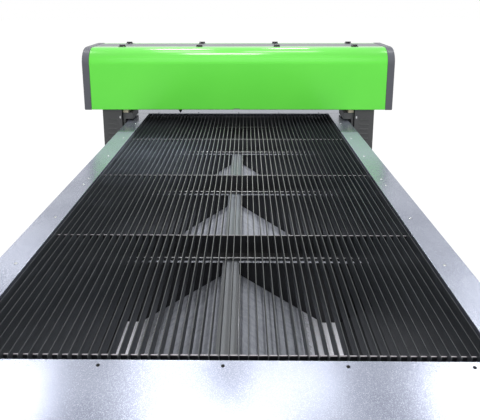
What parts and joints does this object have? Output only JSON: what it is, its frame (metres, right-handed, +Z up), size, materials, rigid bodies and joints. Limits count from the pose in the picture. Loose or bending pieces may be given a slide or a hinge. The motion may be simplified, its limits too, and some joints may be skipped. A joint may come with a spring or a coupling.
{
  "type": "laser cutting machine",
  "caption": "Flatbed laser cutter: a long blade table with a hopper below, bridged by a sliding gantry whose hinged covers hide the laser tube, beam and focusing head.",
  "frame": {"origin": "on the floor under the middle of the table", "axes": "+Z up, +Y along the table from its loading end towards the parked gantry, +X to the right"},
  "size_m": [2.1, 3.15, 1.269],
  "materials": {
    "flange_silver": "silver hammer paint, half gloss",
    "screw_zinc": "zinc plated",
    "blade_black": "black oxide with bright worn edges",
    "comb_black": "matt black",
    "hopper_zinc": "galvanised sheet",
    "frame_grey": "satin paint",
    "panel_grey": "fine texture paint",
    "foot_iron": "blackened",
    "rail_steel": "ground",
    "block_steel": "satin",
    "belt_black": "matt",
    "motor_black": "satin",
    "pulley_aluminium": "turned",
    "bracket_aluminium": "milled",
    "foot_cream": "satin paint",
    "leg_charcoal": "fine texture paint",
    "cap_grey": "satin paint",
    "cover_green": "gloss paint",
    "hinge_black": "satin",
    "spine_grey": "satin paint",
    "tube_glass": "clear",
    "lens_glass": "polished",
    "holder_black": "moulded",
    "nozzle_black": "black anodised",
    "knob_black": "moulded"
  },
  "bodies": {
    "bed": {"front_flange": "flange_silver", "rear_flange": "flange_silver", "side_flanges": "flange_silver", "table_blades": "blade_black", "comb_plates": "comb_black", "comb_bars": "comb_black", "hopper_panels": "hopper_zinc", "ridge_tubes": "hopper_zinc", "bulkheads": "comb_black", "side_beams": "frame_grey", "cross_beams": "frame_grey", "posts": "frame_grey", "bottom_rails": "frame_grey", "levelling_feet": "foot_iron", "side_panels": "panel_grey", "front_panel": "panel_grey", "rear_panel": "panel_grey", "exhaust_spigots": "hopper_zinc", "y_rails": "rail_steel", "y_belts": "belt_black", "shaft_supports": "bracket_aluminium", "y_motor": "motor_black"},
    "y_shaft": {"y_cross_shaft": "rail_steel", "y_shaft_pulleys": "pulley_aluminium"},
    "y_drive": {"y_motor_pulley": "pulley_aluminium"},
    "idler_left": {"y_idler_left": "pulley_aluminium"},
    "idler_right": {"y_idler_right": "pulley_aluminium"},
    "gantry": {"leg_plates": "leg_charcoal", "leg_covers": "leg_charcoal", "y_bearing_blocks": "block_steel", "y_belt_clamps": "bracket_aluminium", "beam_foot_blocks": "foot_cream", "gantry_beam": "frame_grey", "x_rail": "rail_steel", "end_caps": "cap_grey", "spine": "spine_grey", "spine_brackets": "bracket_aluminium", "tube_tray": "spine_grey", "laser_tube": "tube_glass", "tube_holders": "holder_black", "turning_mirrors": "bracket_aluminium", "x_motor": "motor_black", "x_drive_brackets": "bracket_aluminium", "x_belt": "belt_black", "hinge_blocks": "hinge_black", "hinge_pins": "screw_zinc"},
    "front_lid": {"front_cover": "cover_green", "front_hinge_leaves": "hinge_black"},
    "rear_lid": {"rear_cover": "cover_green", "rear_hinge_leaves": "hinge_black"},
    "head": {"head_plate": "bracket_aluminium", "x_bearing_blocks": "block_steel", "x_belt_clamp": "bracket_aluminium", "head_bracket": "bracket_aluminium"},
    "focus_tube": {"lens_tube": "nozzle_black", "focus_lens": "lens_glass", "nozzle": "nozzle_black"},
    "focus_lock": {"focus_screw": "knob_black"},
    "x_drive": {"x_motor_pulley": "pulley_aluminium"},
    "x_idler": {"x_idler_pulley": "pulley_aluminium"}
  },
  "joints": [
    {"name": "gantry_slide", "type": "slide", "parent": "bed", "child": "gantry", "axis": [0, 1, 0], "range_m": [-2.33, 0.17]},
    {"name": "front_lid_hinge", "type": "hinge", "parent": "gantry", "child": "front_lid", "pos_m": [0, 1.095, 1.2635], "axis": [-1, 0, 0], "range_deg": [0, 85]},
    {"name": "rear_lid_hinge", "type": "hinge", "parent": "gantry", "child": "rear_lid", "pos_m": [0, 1.316, 1.2635], "axis": [1, 0, 0], "range_deg": [0, 85]},
    {"name": "head_slide", "type": "slide", "parent": "gantry", "child": "head", "axis": [1, 0, 0], "range_m": [-0.249, 1.051]},
    {"name": "focus_slide", "type": "slide", "parent": "head", "child": "focus_tube", "axis": [0, 0, 1], "range_m": [-0.04, 0.03]},
    {"name": "focus_lock_turn", "type": "hinge", "parent": "head", "child": "focus_lock", "pos_m": [-0.401, 0.99, 0.954], "axis": [0, -1, 0], "range_deg": [0, 180]},
    {"name": "y_shaft_turn", "type": "hinge", "parent": "bed", "child": "y_shaft", "pos_m": [0, 1.4, 0.59], "axis": [1, 0, 0], "range_deg": [-380, 5086]},
    {"name": "y_motor_turn", "type": "hinge", "parent": "bed", "child": "y_drive", "pos_m": [0.015, 1.44, 0.5], "axis": [1, 0, 0], "range_deg": [-554, 7469]},
    {"name": "idler_left_turn", "type": "hinge", "parent": "bed", "child": "idler_left", "pos_m": [-0.773, -1.44, 0.59], "axis": [1, 0, 0], "range_deg": [-380, 5086]},
    {"name": "idler_right_turn", "type": "hinge", "parent": "bed", "child": "idler_right", "pos_m": [0.773, -1.44, 0.59], "axis": [1, 0, 0], "range_deg": [-380, 5086]},
    {"name": "x_motor_turn", "type": "hinge", "parent": "gantry", "child": "x_drive", "pos_m": [-0.93, 1.0745, 1], "axis": [0, 0, 1], "range_deg": [-885, 3704]},
    {"name": "x_idler_turn", "type": "hinge", "parent": "gantry", "child": "x_idler", "pos_m": [0.89, 1.0745, 1], "axis": [0, 0, 1], "range_deg": [-885, 3704]}
  ],
  "couplings": [
    {"joint": "y_shaft_turn", "follows": "gantry_slide", "rad_per_m": -38.023},
    {"joint": "y_motor_turn", "follows": "gantry_slide", "rad_per_m": -55.874},
    {"joint": "idler_left_turn", "follows": "gantry_slide", "rad_per_m": -38.023},
    {"joint": "idler_right_turn", "follows": "gantry_slide", "rad_per_m": -38.023},
    {"joint": "x_motor_turn", "follows": "head_slide", "rad_per_m": 61.35},
    {"joint": "x_idler_turn", "follows": "head_slide", "rad_per_m": 61.35}
  ]
}
